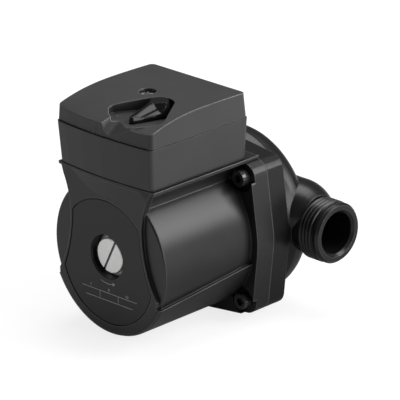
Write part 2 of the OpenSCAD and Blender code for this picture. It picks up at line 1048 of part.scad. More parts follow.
module terminal_box_base() {
    floor_z = box_z + box_gasket_t;
    inner_z = floor_z + floor_t;
    post_top = crown_z - lid_well_depth - lid_well_t - run_clearance;
    color(plastic_dark)
        difference() {
            union() {
                difference() {
                    translate([0, 0, floor_z])
                        tapered_box(base_half_w, base_len, 0, base_h - box_gasket_t - run_clearance,
                            box_half_w / base_half_w);
                    translate([0, 0, inner_z])
                        linear_extrude(base_h)
                            box_plan(base_half_w, base_len, -box_wall);
                }
                translate([lid_screw_x, at(lid_screw_depth), floor_z])
                    cylinder(r = post_r, h = post_top - floor_z);
                for (x = [-1, 1])
                    for (y = [-1, 1])
                        translate([board_x + x * (board_l / 2 - post_inset),
                            at(knob_depth) + y * (board_w / 2 - post_inset), floor_z])
                            cylinder(r = post_inset, h = board_z - floor_z - fit_clearance);
            }
            translate([lid_screw_x, at(lid_screw_depth), crown_z - lid_screw_len - lid_well_depth])
                cylinder(r = lid_screw_r + run_clearance, h = lid_screw_len);
            translate([-box_half_w - overrun, at(gland_depth), gland_z])
                rotate([0, 90, 0])
                    cylinder(r = gland_r + fit_clearance, h = 3 * box_wall + overrun);
            translate([lead_hole_x, at(lead_hole_at), box_z])
                cylinder(r = lead_hole_r + fit_clearance, h = base_h / 3);
            box_screw_places()
                translate([0, 0, box_z])
                    cylinder(r = box_screw_r + fit_clearance, h = base_h / 3);
            translate([earth_x, at(earth_depth), box_z])
                cylinder(r = small_screw_r + fit_clearance, h = base_h / 3);
        }
}

module box_screws() {
    color(steel_colour)
        box_screw_places()
            translate([0, 0, box_z + box_gasket_t + floor_t])
                difference() {
                    union() {
                        cylinder(r = box_screw_head_r, h = box_screw_head_h);
                        translate([0, 0, -box_screw_len - floor_t + run_clearance])
                            cylinder(r = box_screw_r, h = box_screw_len + floor_t);
                    }
                    translate([-box_screw_head_r - overrun, -small_slot_w / 2, box_screw_head_h / 2])
                        cube([2 * (box_screw_head_r + overrun), small_slot_w, box_screw_head_h]);
                }
}

module lead_grommet() {
    bore = leads * lead_pitch / 2;
    color(rubber_colour)
        translate([lead_hole_x, at(lead_hole_at), box_z - 3 * lip_t])
            difference() {
                cylinder(r = lead_hole_r - fit_clearance, h = 3 * lip_t + box_gasket_t + floor_t);
                for (i = [0 : leads - 1])
                    translate([(i - (leads - 1) / 2) * lead_pitch, 0, -overrun])
                        cylinder(r = lead_r + fit_clearance, h = 3 * bore + base_h / 2);
            }
}

module winding_leads() {
    coil_out = slot_out_r - slot_gap;
    lead_from = sqrt(pow(coil_out, 2) - pow(lead_hole_x - leads * lead_pitch / 2, 2)) + run_clearance;
    color([0.65, 0.2, 0.15])
        for (i = [0 : leads - 1])
            translate([lead_hole_x + (i - (leads - 1) / 2) * lead_pitch, at(lead_hole_at), lead_from])
                cylinder(r = lead_r, h = board_z - lead_from - seat_clearance);
}

module capacitor() {
    color([0.85, 0.84, 0.8])
        translate([capacitor_x, at(capacitor_depth), box_z + box_gasket_t + floor_t + clip_t])
            linear_extrude(capacitor_h)
                round_rect(capacitor_w, capacitor_l, 1);
}

module capacitor_clip() {
    side_gap = seat_clearance;
    color(steel_colour)
        translate([capacitor_x, at(capacitor_depth) + clip_w / 2, box_z + box_gasket_t + floor_t])
            rotate([90, 0, 0])
                linear_extrude(clip_w)
                    difference() {
                        translate([-capacitor_w / 2 - clip_t - side_gap, 0])
                            square([capacitor_w + 2 * (clip_t + side_gap), capacitor_h * clip_share]);
                        translate([-capacitor_w / 2 - side_gap, clip_t - fit_clearance])
                            square([capacitor_w + 2 * side_gap, capacitor_h]);
                    }
}

module switch_body() {
    cup_r = spindle_r + run_clearance;
    color([0.16, 0.2, 0.3])
        translate([knob_x, at(knob_depth), board_z + board_t])
            difference() {
                translate([-switch_l / 2, -switch_w / 2, 0])
                    cube([switch_l, switch_w, switch_h]);
                translate([0, 0, board_t])
                    cylinder(r = cup_r, h = switch_h);
            }
}

module switch_spindle() {
    foot = board_z + 2 * board_t + run_clearance;
    slot_gap_w = blade_w + 2 * run_clearance;
    color([0.9, 0.9, 0.88])
        translate([knob_x, at(knob_depth), foot])
            difference() {
                cylinder(r = spindle_r, h = spindle_top - foot);
                translate([-slot_gap_w / 2, -spindle_r - overrun, spindle_top - foot - spindle_drop])
                    cube([slot_gap_w, 2 * (spindle_r + overrun), spindle_drop + overrun]);
            }
}

module contact_board() {
    color([0.2, 0.4, 0.22])
        translate([board_x - board_l / 2, at(knob_depth) - board_w / 2, board_z])
            cube([board_l, board_w, board_t - fit_clearance]);
}

module terminal_block() {
    color([0.88, 0.88, 0.84])
        translate([block_x, at(block_depth), box_z + box_gasket_t + floor_t])
            difference() {
                translate([-block_l / 2, -block_w / 2, 0])
                    cube([block_l, block_w, block_h]);
                for (i = [0 : poles - 1])
                    translate([0, (i - (poles - 1) / 2) * pole_pitch, 0]) {
                        translate([0, 0, block_h / 2])
                            cylinder(r = small_head_r + seat_clearance, h = block_h);
                        translate([-block_l, 0, block_h / 3])
                            rotate([0, 90, 0])
                                cylinder(r = wire_hole_r, h = 2 * block_l);
                    }
            }
}

module terminal_screws() {
    color(steel_colour)
        for (i = [0 : poles - 1])
            translate([block_x, at(block_depth) + (i - (poles - 1) / 2) * pole_pitch,
                box_z + box_gasket_t + floor_t + block_h / 2 + fit_clearance])
                difference() {
                    cylinder(r = small_head_r, h = block_h / 3);
                    translate([-block_l, -small_slot_w / 2, block_h / 4])
                        cube([2 * block_l, small_slot_w, block_h]);
                }
}

module earth_screw() {
    color([0.3, 0.55, 0.25])
        translate([earth_x, at(earth_depth), box_z + box_gasket_t + floor_t])
            difference() {
                union() {
                    cylinder(r = small_head_r, h = small_head_h);
                    translate([0, 0, -box_screw_len / 2 - floor_t + run_clearance])
                        cylinder(r = small_screw_r, h = box_screw_len / 2 + floor_t);
                }
                translate([-small_head_r - overrun, -small_slot_w / 2, small_head_h / 2])
                    cube([2 * (small_head_r + overrun), small_slot_w, small_head_h]);
            }
}

// Lid

module lid_gasket() {
    color(rubber_colour)
        translate([0, 0, seam_z - lid_lip_h])
            linear_extrude(lid_lip_h - fit_clearance)
                difference() {
                    box_plan(base_half_w, base_len, -box_wall - seat_clearance * 3);
                    box_plan(base_half_w, base_len, -box_wall - lid_lip_t);
                }
}

// Height of the lid surface at a depth behind the front face of the box
function crown(depth) = depth < crown_at
    ? crown_z - crown_drop * pow((crown_at - depth) / crown_at, crown_power)
    : crown_z - crown_fall * pow((depth - crown_at) / (box_len - crown_at), 2);

// Side profile of the lid in Y and Z, lowered by a given amount
module crown_profile(drop) {
    polygon(concat(
        [for (i = [0 : crown_steps]) let (d = box_len * i / crown_steps)
            [at(box_front + d), crown(d) - drop]],
        [[at(box_front + box_len) + overrun, crown(box_len) - drop], [at(box_front + box_len) + overrun, 0],
            [at(box_front) - overrun, 0], [at(box_front) - overrun, crown(0) - drop]]));
}

module crown_block(drop) {
    rotate([90, 0, 90])
        translate([0, 0, -2 * box_half_w])
            linear_extrude(4 * box_half_w)
                crown_profile(drop);
}

// Rounded fan in which the knob turns
module recess_plan(grow) {
    translate([knob_x, at(knob_depth)])
        hull() {
            circle(r = recess_apex_r + grow, $fn = edge_fn);
            for (a = [-recess_angle : recess_angle / 4 : recess_angle])
                rotate(a)
                    translate([0, -recess_reach])
                        circle(r = recess_corner_r + grow, $fn = edge_fn);
        }
}

// Scoop, drawn upwards and backwards from the front face of the lid
module scoop(grow) {
    translate([0, at(box_front), seam_z])
        rotate([90 + scoop_tilt, 0, 0])
            translate([0, 0, -scoop_len])
                linear_extrude(scoop_len + 2 * overrun)
                    hull() {
                        translate([scoop_deep_x, scoop_deep_z - seam_z])
                            circle(r = scoop_deep_r + grow, $fn = edge_fn);
                        translate([scoop_end_x, scoop_end_z - seam_z])
                            circle(r = scoop_end_r + grow, $fn = edge_fn);
                    }
}

module lid_shell() {
    intersection() {
        translate([0, 0, seam_z])
            tapered_box(box_half_w, box_len, 0, lid_h, 1 - lid_draft / box_half_w);
        crown_block(0);
    }
}

module lid_hollow() {
    intersection() {
        translate([0, 0, seam_z - overrun])
            linear_extrude(lid_h)
                box_plan(box_half_w - lid_draft, box_len - 2 * lid_draft, -box_wall);
        crown_block(lid_top_t);
    }
}

module terminal_box_lid() {
    well_bottom = crown_z - lid_well_depth;
    color(plastic_dark)
        difference() {
            lid_shell();
            difference() {
                lid_hollow();
                translate([0, 0, recess_floor_z - recess_t])
                    linear_extrude(crown_z)
                        recess_plan(recess_t);
                scoop(recess_t);
                translate([lid_screw_x, at(lid_screw_depth), well_bottom - lid_well_t])
                    cylinder(r = lid_hole_r + lid_well_t, h = crown_z);
            }
            translate([0, 0, recess_floor_z])
                linear_extrude(crown_z)
                    recess_plan(0);
            scoop(0);
            translate([lid_screw_x, at(lid_screw_depth), well_bottom])
                cylinder(r = lid_hole_r, h = crown_z);
            translate([lid_screw_x, at(lid_screw_depth), well_bottom - lid_well_t - overrun])
                cylinder(r = lid_screw_r + fit_clearance, h = crown_z);
            translate([knob_x, at(knob_depth), recess_floor_z - recess_t - overrun])
                cylinder(r = knob_neck_r + fit_clearance * 2, h = crown_z);
        }
}

module lid_screw() {
    head_z = crown_z - lid_well_depth;
    cross_half = lid_screw_head_r * lid_cross_share;
    color([0.8, 0.8, 0.82])
        translate([lid_screw_x, at(lid_screw_depth), head_z + fit_clearance])
            difference() {
                union() {
                    cylinder(r = lid_screw_head_r, h = lid_screw_head_h);
                    translate([0, 0, -lid_screw_len + 2 * overrun])
                        cylinder(r = lid_screw_r, h = lid_screw_len);
                }
                for (turn = [0, 90])
                    rotate(45 + turn)
                        translate([-cross_half, -lid_screw_slot_w / 2, lid_screw_head_h / 3])
                            cube([2 * cross_half, lid_screw_slot_w, lid_screw_head_h]);
            }
}

// Thin round slice of the knob, a given height above its foot
module knob_slice(r, y, z) {
    translate([0, y, z])
        cylinder(r = r, h = seat_clearance, $fn = edge_fn);
}

module speed_knob() {
    foot_z = recess_floor_z + run_clearance;
    neck_foot = spindle_top - blade_h;
    tip_y = knob_tip_r - knob_reach;
    color(plastic_gloss)
        translate([knob_x, at(knob_depth), 0]) {
            translate([0, 0, foot_z])
                difference() {
                    hull() {
                        knob_slice(knob_r, 0, 0);
                        knob_slice(knob_r, 0, knob_foot_h);
                        knob_slice(knob_tip_r, tip_y, 0);
                        knob_slice(knob_tip_r, tip_y, knob_foot_h);
                        knob_slice(knob_r * knob_top_share, knob_top_shift, knob_h);
                        knob_slice(knob_tip_r * knob_tip_share, tip_y, knob_tip_h);
                    }
                    for (side = [-1, 1])
                        translate([side * finger_x, -finger_end, knob_h + finger_rise])
                            rotate([90 + finger_tilt, 0, side * finger_turn])
                                rotate_extrude()
                                    polygon([[0, -finger_fade], [finger_r / 2, -finger_fade], [finger_r, 0],
                                        [finger_r, knob_reach], [0, knob_reach]]);
                }
            translate([0, 0, recess_floor_z - recess_t - knob_ring_t - run_clearance])
                cylinder(r = knob_neck_r, h = 2 * recess_t + knob_ring_t);
            translate([-blade_w / 2, -blade_l / 2, neck_foot])
                cube([blade_w, blade_l, blade_h + knob_ring_t + recess_t]);
        }
}

module knob_ring() {
    ring_top = recess_floor_z - recess_t - run_clearance;
    color(steel_colour)
        translate([knob_x, at(knob_depth), ring_top - knob_ring_t])
            difference() {
                cylinder(r = knob_ring_r, h = knob_ring_t);
                translate([0, 0, -overrun])
                    cylinder(r = knob_neck_r + fit_clearance, h = knob_ring_t + 2 * overrun);
            }
}

// Cable gland

// The children on the gland axis, with +Z pointing out of the box
module gland_axis() {
    translate([-box_half_w, at(gland_depth), gland_z])
        rotate([0, -90, 0])
            children();
}

module gland_body() {
    color(plastic_gloss)
        gland_axis()
            difference() {
                union() {
                    cylinder(r = gland_flange_r, h = gland_flange_t, $fn = hex_sides);
                    translate([0, 0, -box_wall - gland_lock_t - base_draft])
                        cylinder(r = gland_r,
                            h = gland_flange_t + gland_body_l + box_wall + gland_lock_t + base_draft);
                }
                translate([0, 0, -box_wall - gland_lock_t - base_draft - overrun])
                    cylinder(r = cable_r + 2 * seat_clearance, h = 4 * gland_body_l + overrun);
                translate([0, 0, gland_flange_t])
                    cylinder(r = cable_r + gland_seal_wall + fit_clearance, h = gland_body_l + overrun);
            }
}

module gland_seal() {
    color(rubber_colour)
        gland_axis()
            translate([0, 0, gland_flange_t + fit_clearance])
                difference() {
                    cylinder(r = cable_r + gland_seal_wall, h = gland_seal_l);
                    translate([0, 0, -overrun])
                        cylinder(r = cable_r, h = gland_seal_l + 2 * overrun);
                }
}

module gland_nut() {
    color(plastic_gloss)
        gland_axis()
            translate([0, 0, gland_flange_t + fit_clearance])
                difference() {
                    union() {
                        cylinder(r = gland_nut_r, h = gland_nut_l * gland_hex_share, $fn = hex_sides);
                        cylinder(r1 = gland_nut_r * gland_skirt_share,
                            r2 = gland_nut_r * gland_top_share, h = gland_nut_l);
                    }
                    translate([0, 0, -overrun])
                        cylinder(r = gland_r + fit_clearance, h = gland_seal_l + overrun);
                    translate([0, 0, -overrun])
                        cylinder(r = cable_r + 2 * seat_clearance, h = gland_nut_l + 2 * overrun);
                }
}

module gland_locknut() {
    color(plastic_gloss)
        gland_axis()
            translate([0, 0, -box_wall - base_draft - gland_lock_t])
                difference() {
                    cylinder(r = gland_lock_r, h = gland_lock_t - seat_clearance, $fn = hex_sides);
                    translate([0, 0, -overrun])
                        cylinder(r = gland_r + fit_clearance, h = gland_lock_t + 2 * overrun);
                }
}

pump_casing();
casing_gasket();
wear_ring();
impeller();
impeller_nut();
bearing_plate();
rear_bearing();
rotor_can();
can_front_seal();
shaft();
rotor_core();
rotor_jacket();
front_bearing();
front_bearing_holder();
thrust_ring();
thrust_cushion();
stator_core();
stator_winding();
motor_housing();
flange_screws();
name_plate();
vent_plug();
vent_seal();
box_gasket();
terminal_box_base();
box_screws();
winding_leads();
lead_grommet();
capacitor();
capacitor_clip();
switch_body();
switch_spindle();
contact_board();
terminal_block();
terminal_screws();
earth_screw();
lid_gasket();
terminal_box_lid();
lid_screw();
speed_knob();
knob_ring();
gland_body();
gland_seal();
gland_nut();
gland_locknut();
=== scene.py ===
import json
import math
import bpy
import bmesh
from mathutils import Matrix, Vector


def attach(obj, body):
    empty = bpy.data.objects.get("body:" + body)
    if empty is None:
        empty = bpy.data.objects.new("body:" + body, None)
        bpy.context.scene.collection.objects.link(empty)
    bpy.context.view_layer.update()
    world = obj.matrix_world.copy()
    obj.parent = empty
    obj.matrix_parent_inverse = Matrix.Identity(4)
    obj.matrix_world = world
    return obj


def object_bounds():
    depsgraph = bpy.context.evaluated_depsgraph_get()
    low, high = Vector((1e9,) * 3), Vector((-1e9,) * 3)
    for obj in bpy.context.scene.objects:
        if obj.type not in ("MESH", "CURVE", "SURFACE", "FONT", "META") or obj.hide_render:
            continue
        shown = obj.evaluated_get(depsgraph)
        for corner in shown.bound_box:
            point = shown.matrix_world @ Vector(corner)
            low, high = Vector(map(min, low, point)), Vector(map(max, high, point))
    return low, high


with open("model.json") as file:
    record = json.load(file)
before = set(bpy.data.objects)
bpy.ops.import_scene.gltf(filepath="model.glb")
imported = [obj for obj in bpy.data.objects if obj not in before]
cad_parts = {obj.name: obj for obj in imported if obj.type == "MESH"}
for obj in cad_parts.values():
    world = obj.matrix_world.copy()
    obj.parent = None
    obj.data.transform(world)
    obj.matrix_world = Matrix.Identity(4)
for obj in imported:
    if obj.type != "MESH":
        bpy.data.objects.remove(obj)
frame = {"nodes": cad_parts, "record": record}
cad_low, cad_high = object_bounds()
nodes = frame["nodes"]
scene = bpy.context.scene
MM = 0.001
MOTOR_FRONT = -103.5
CROWN_SHARE = 0.35
PATCH_LOW, PATCH_HIGH = 0.3, 0.7
PATCH_DETAIL, FINE_DETAIL = 4.0, 3.0
ROUGH_LEAST = 0.02
# Edge constants set painted highlights on edges; hollow constants set painted shade in hollows.
EDGE_SAMPLES, EDGE_FROM, EDGE_TO = 6, 0.99, 0.8
EDGE_HIGHLIGHT_GREY = (0.35, 0.35, 0.35, 1)
HOLLOW_SAMPLES, HOLLOW_FROM, HOLLOW_TO, HOLLOW_LEAST = 8, 0.35, 0.85, 0.12
HOLLOW_SHADE_GREY = (0.002, 0.002, 0.002, 1)


def at(depth):
    """Y in millimetres of a point that lies a given depth behind the motor front."""
    return MOTOR_FRONT + depth


# Materials

def material(name, colour, rough, metal=0.0, tint=0.15, patch=60.0, rough_spread=0.06,
             grain=1500.0, bump=0.1, depth=0.0002, edge=0.0006, coat=0.0, coat_rough=0.1,
             specular=0.5, painted_edge_highlight=0.0, brushed=None, hollow_shade_reach=0.0):
    """Procedural surface: colour patches, uneven roughness, fine grain, softened edges with painted
    highlights, painted shade in hollows.
    """
    m = bpy.data.materials.new(name)
    m.use_nodes = True
    tree = m.node_tree
    tree.nodes.clear()
    new, link = tree.nodes.new, tree.links.new
    out = new("ShaderNodeOutputMaterial")
    shader = new("ShaderNodeBsdfPrincipled")
    link(shader.outputs["BSDF"], out.inputs["Surface"])
    shader.inputs["Metallic"].default_value = metal
    shader.inputs["Coat Weight"].default_value = coat
    shader.inputs["Coat Roughness"].default_value = coat_rough
    shader.inputs["Specular IOR Level"].default_value = specular
    place = new("ShaderNodeTexCoord")
    start = place.outputs["Object"]
    if brushed is not None:
        stretch = new("ShaderNodeMapping")
        stretch.inputs["Scale"].default_value = brushed
        link(start, stretch.inputs["Vector"])
        start = stretch.outputs["Vector"]
    patches = new("ShaderNodeTexNoise")
    patches.inputs["Scale"].default_value = patch
    patches.inputs["Detail"].default_value = PATCH_DETAIL
    link(place.outputs["Object"], patches.inputs["Vector"])
    ramp = new("ShaderNodeValToRGB")
    ramp.color_ramp.elements[0].position = PATCH_LOW
    ramp.color_ramp.elements[1].position = PATCH_HIGH
    ramp.color_ramp.elements[0].color = [c * (1 - tint) for c in colour] + [1]
    ramp.color_ramp.elements[1].color = [min(1, c * (1 + tint)) for c in colour] + [1]
    link(patches.outputs["Fac"], ramp.inputs["Fac"])
    fine = new("ShaderNodeTexNoise")
    fine.inputs["Scale"].default_value = grain
    fine.inputs["Detail"].default_value = FINE_DETAIL
    link(start, fine.inputs["Vector"])
    spread = new("ShaderNodeMapRange")
    spread.inputs["To Min"].default_value = max(ROUGH_LEAST, rough - rough_spread)
    spread.inputs["To Max"].default_value = min(1.0, rough + rough_spread)
    blend = new("ShaderNodeMath")
    blend.operation = "MULTIPLY_ADD"
    blend.inputs[1].default_value = 0.5
    link(fine.outputs["Fac"], blend.inputs[0])
    half = new("ShaderNodeMath")
    half.operation = "MULTIPLY"
    half.inputs[1].default_value = 0.5
    link(patches.outputs["Fac"], half.inputs[0])
    link(half.outputs["Value"], blend.inputs[2])
    link(blend.outputs["Value"], spread.inputs["Value"])
    link(spread.outputs["Result"], shader.inputs["Roughness"])
    lift = new("ShaderNodeBump")
    lift.inputs["Strength"].default_value = bump
    lift.inputs["Distance"].default_value = depth
    link(fine.outputs["Fac"], lift.inputs["Height"])
    colour_out = ramp.outputs["Color"]
    if edge > 0:
        soft = new("ShaderNodeBevel")
        soft.samples = EDGE_SAMPLES
        soft.inputs["Radius"].default_value = edge
        link(soft.outputs["Normal"], lift.inputs["Normal"])
        # Painted highlight: light grey is mixed onto the edges, broken up by the colour patches, in place
        # of glints on rounded edges.
        if painted_edge_highlight > 0:
            plain = new("ShaderNodeNewGeometry")
            facing = new("ShaderNodeVectorMath")
            facing.operation = "DOT_PRODUCT"
            link(soft.outputs["Normal"], facing.inputs[0])
            link(plain.outputs["Normal"], facing.inputs[1])
            rim = new("ShaderNodeMapRange")
            rim.inputs["From Min"].default_value = EDGE_FROM
            rim.inputs["From Max"].default_value = EDGE_TO
            rim.inputs["To Max"].default_value = painted_edge_highlight
            link(facing.outputs["Value"], rim.inputs["Value"])
            patchy_highlight = new("ShaderNodeMath")
            patchy_highlight.operation = "MULTIPLY"
            link(rim.outputs["Result"], patchy_highlight.inputs[0])
            link(patches.outputs["Fac"], patchy_highlight.inputs[1])
            mix = new("ShaderNodeMix")
            mix.data_type = "RGBA"
            link(patchy_highlight.outputs["Value"], mix.inputs[0])
            link(colour_out, mix.inputs[6])
            mix.inputs[7].default_value = EDGE_HIGHLIGHT_GREY
            colour_out = mix.outputs[2]
    # Painted shade: ambient occlusion darkens the colour towards near black in hollows, slots and
    # creases.
    if hollow_shade_reach > 0:
        hollow = new("ShaderNodeAmbientOcclusion")
        hollow.samples = HOLLOW_SAMPLES
        hollow.inputs["Distance"].default_value = hollow_shade_reach
        light = new("ShaderNodeMapRange")
        light.inputs["From Min"].default_value = HOLLOW_FROM
        light.inputs["From Max"].default_value = HOLLOW_TO
        light.inputs["To Min"].default_value = HOLLOW_LEAST
        link(hollow.outputs["AO"], light.inputs["Value"])
        dim = new("ShaderNodeMix")
        dim.data_type = "RGBA"
        link(light.outputs["Result"], dim.inputs[0])
        dim.inputs[6].default_value = HOLLOW_SHADE_GREY
        link(colour_out, dim.inputs[7])
        colour_out = dim.outputs[2]
    link(colour_out, shader.inputs["Base Color"])
    link(lift.outputs["Normal"], shader.inputs["Normal"])
    return m


# Below, the edge highlight setting of a finish paints light grey highlights on its edges, and the hollow
# shade setting paints near black shade in its hollows.
looks = {
    "casing_paint": material("casing_paint", (0.009, 0.009, 0.01), 0.32, specular=0.38, grain=900,
                             bump=0.12, depth=0.00025, edge=0.0005, painted_edge_highlight=0.9, rough_spread=0.07,
                             hollow_shade_reach=0.006),
    "motor_paint": material("motor_paint", (0.014, 0.014, 0.015), 0.36, grain=1100, bump=0.08,
                            edge=0.0008, painted_edge_highlight=1.0, hollow_shade_reach=0.006),
    "gasket_rubber": material("gasket_rubber", (0.03, 0.03, 0.03), 0.75, grain=2500, bump=0.2),
    "stainless": material("stainless", (0.62, 0.62, 0.63), 0.3, 1.0, 0.05, brushed=(1, 12, 1), bump=0.12),
    "impeller_plastic": material("impeller_plastic", (0.6, 0.55, 0.42), 0.5, grain=2000, bump=0.15),
    "brass": material("brass", (0.75, 0.55, 0.22), 0.28, 1.0, 0.08, bump=0.05),
    "carbon": material("carbon", (0.05, 0.05, 0.055), 0.42, grain=3000, bump=0.15),
    "ceramic": material("ceramic", (0.8, 0.78, 0.72), 0.3, tint=0.04, bump=0.03),
    "lamination": material("lamination", (0.38, 0.38, 0.4), 0.4, 1.0, 0.1, grain=400,
                           brushed=(0.02, 6, 0.02), bump=0.5, depth=0.0003),
    "copper_wire": material("copper_wire", (0.6, 0.24, 0.09), 0.32, 0.9, 0.15, grain=500,
                            brushed=(1, 3, 1), bump=0.5, depth=0.0003),
    "black_screw": material("black_screw", (0.03, 0.03, 0.033), 0.22, tint=0.1, coat=0.4, edge=0.0004,
                            painted_edge_highlight=0.3, hollow_shade_reach=0.003),
    "plate_film": material("plate_film", (0.024, 0.024, 0.026), 0.35, specular=0.35, tint=0.05, patch=25,
                           grain=3000, bump=0.03, edge=0.0002, rough_spread=0.03),
    "plug_metal": material("plug_metal", (0.95, 0.95, 0.94), 0.36, 0.7, 0.03, patch=150, grain=1200,
                           bump=0.05, edge=0.0005, hollow_shade_reach=0.0016),
    "box_plastic": material("box_plastic", (0.042, 0.042, 0.044), 0.47, tint=0.06, grain=3200, bump=0.22,
                            depth=0.00012, edge=0.0006, rough_spread=0.04, painted_edge_highlight=0.2, hollow_shade_reach=0.004),
    "lid_plastic": material("lid_plastic", (0.044, 0.044, 0.046), 0.44, tint=0.06, grain=3200, bump=0.22,
                            depth=0.00012, edge=0.0009, rough_spread=0.04, painted_edge_highlight=1.3, hollow_shade_reach=0.007),
    "zinc_screw": material("zinc_screw", (0.85, 0.85, 0.81), 0.36, 0.3, 0.08, bump=0.06, edge=0.0003),
    "lead_sleeve": material("lead_sleeve", (0.35, 0.05, 0.04), 0.45, bump=0.05),
    "capacitor_case": material("capacitor_case", (0.7, 0.68, 0.6), 0.5, tint=0.04, bump=0.1),
    "switch_plastic": material("switch_plastic", (0.05, 0.07, 0.14), 0.5, bump=0.1),
    "spindle_plastic": material("spindle_plastic", (0.75, 0.74, 0.7), 0.45, tint=0.04, bump=0.05),
    "board": material("board", (0.03, 0.12, 0.05), 0.4, tint=0.2, patch=300, bump=0.05, coat=0.3),
    "block_plastic": material("block_plastic", (0.75, 0.75, 0.7), 0.5, tint=0.04, bump=0.08),
    "screw_steel": material("screw_steel", (0.72, 0.72, 0.74), 0.24, 1.0, 0.06, bump=0.05, edge=0.0003),
    "knob_plastic": material("knob_plastic", (0.01, 0.01, 0.011), 0.16, tint=0.1, bump=0.0, edge=0.0008,
                             coat=0.08, coat_rough=0.05, specular=0.18),
    "gland_plastic": material("gland_plastic", (0.035, 0.035, 0.037), 0.45, grain=2500, bump=0.15),
}
mark_paint = material("mark_paint", (0.55, 0.55, 0.55), 0.5, tint=0.06, patch=400, bump=0.03, edge=0)

slot_of = {s["node"]: s["material_slot"] for s in frame["record"]["subparts"]}
for name, obj in nodes.items():
    if not obj.material_slots:
        obj.data.materials.append(None)
    for s in obj.material_slots:
        s.material = looks[slot_of[name]]


# Flat marks that the solids do not have

def piece(name, bm, mat, body):
    """Turn a bmesh in millimetres into an object that rides on a body."""
    me = bpy.data.meshes.new(name)
    bmesh.ops.recalc_face_normals(bm, faces=bm.faces)
    bmesh.ops.scale(bm, vec=(MM, MM, MM), verts=bm.verts)
    bm.to_mesh(me)
    bm.free()
    me.materials.append(mat)
    obj = bpy.data.objects.new(name, me)
    scene.collection.objects.link(obj)
    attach(obj, body)
    return obj


def strip(bm, points, width, thick, normal):
    """Flat ribbon with a low crown along points, standing proud of a surface by thick."""
    normal = Vector(normal).normalized()
    rows = []
    for i, p in enumerate(points):
        p = Vector(p)
        a = Vector(points[max(0, i - 1)])
        b = Vector(points[min(len(points) - 1, i + 1)])
        side = (b - a).cross(normal).normalized()
        rows.append([bm.verts.new(p - side * width / 2),
                     bm.verts.new(p - side * width * CROWN_SHARE + normal * thick),
                     bm.verts.new(p + side * width * CROWN_SHARE + normal * thick),
                     bm.verts.new(p + side * width / 2)])
    for r, t in zip(rows, rows[1:]):
        for k in range(3):
            bm.faces.new((r[k], r[k + 1], t[k + 1], t[k]))
        bm.faces.new((r[3], r[0], t[0], t[3]))
    for end in (rows[0], rows[-1]):
        bm.faces.new(end)


# Rules, column strokes and turning arrow on the name plate
PLATE_Y = at(0.2)
FRONT = (0, -1, 0)
PRINT = 0.02
RULE_STEPS = 8
RULES = (((-19.3, -20.2), (21.6, -19.6)), ((-16.4, -24.6), (18.4, -23.9)))
DIVIDERS = (-6.0, 7.6)
DIVIDER_TOP, DIVIDER_FOOT = -20.0, -24.2
COLUMNS = ((-12.6, 1), (0.8, 2), (14.4, 3))
STROKE_TOP, STROKE_FOOT, STROKE_GAP = -17.4, -19.0, 0.75
ARROW_R, ARROW_FROM, ARROW_STEP, ARROW_POINTS = 14.7, -20, 3.5, 11
HEAD_HALF, HEAD_LEN = 1.0, 1.9
RULE_WIDE, DIVIDER_WIDE, STROKE_WIDE, ARROW_WIDE = 0.3, 0.26, 0.3, 0.34

bm = bmesh.new()
for (x0, z0), (x1, z1) in RULES:
    points = [(x0 + (x1 - x0) * i / RULE_STEPS, PLATE_Y, z0 + (z1 - z0) * i / RULE_STEPS)
              for i in range(RULE_STEPS + 1)]
    strip(bm, points, RULE_WIDE, PRINT, FRONT)
for x in DIVIDERS:
    strip(bm, [(x, PLATE_Y, DIVIDER_TOP), (x, PLATE_Y, DIVIDER_FOOT)], DIVIDER_WIDE, PRINT, FRONT)
for middle, strokes in COLUMNS:
    for k in range(strokes):
        x = middle + (k - (strokes - 1) / 2) * STROKE_GAP
        strip(bm, [(x, PLATE_Y, STROKE_TOP), (x, PLATE_Y, STROKE_FOOT)], STROKE_WIDE, PRINT, FRONT)
arc = [(ARROW_R * math.sin(a), PLATE_Y, -ARROW_R * math.cos(a))
       for a in (math.radians(ARROW_FROM + ARROW_STEP * i) for i in range(ARROW_POINTS))]
strip(bm, arc, ARROW_WIDE, PRINT, FRONT)
tip = Vector(arc[-1])
along = (tip - Vector(arc[-2])).normalized()
across = along.cross(Vector(FRONT)).normalized()
head = [bm.verts.new(tip + across * HEAD_HALF), bm.verts.new(tip - across * HEAD_HALF),
        bm.verts.new(tip + along * HEAD_LEN)]
lifted = [bm.verts.new(v.co + Vector(FRONT) * PRINT) for v in head]
bm.faces.new(head)
bm.faces.new(lifted)
for k in range(3):
    bm.faces.new((head[k], head[(k + 1) % 3], lifted[(k + 1) % 3], lifted[k]))
piece("plate_rules", bm, mark_paint, "frame")

# Three strokes in the recess, at the high speed end of the knob's travel
UP = (0, 0, 1)
RECESS_FLOOR = 73.32
KNOB_AXIS = Vector((12.5, at(26), 0))
HIGH_TURN = math.radians(42)
HIGH_REACH, HIGH_HALF, HIGH_GAP = 19.6, 1.5, 1.5
HIGH_WIDE, HIGH_THICK = 0.7, 0.22
bm = bmesh.new()
outward = Vector((-math.sin(HIGH_TURN), -math.cos(HIGH_TURN), 0))
side = Vector((math.cos(HIGH_TURN), -math.sin(HIGH_TURN), 0))
rise = Vector((0, 0, RECESS_FLOOR))
for k in (-1, 0, 1):
    mid = KNOB_AXIS + outward * HIGH_REACH + side * HIGH_GAP * k
    ends = [tuple(mid - outward * HIGH_HALF + rise), tuple(mid + outward * HIGH_HALF + rise)]
    strip(bm, ends, HIGH_WIDE, HIGH_THICK, UP)
piece("high_speed_mark", bm, looks["lid_plastic"], "lid")

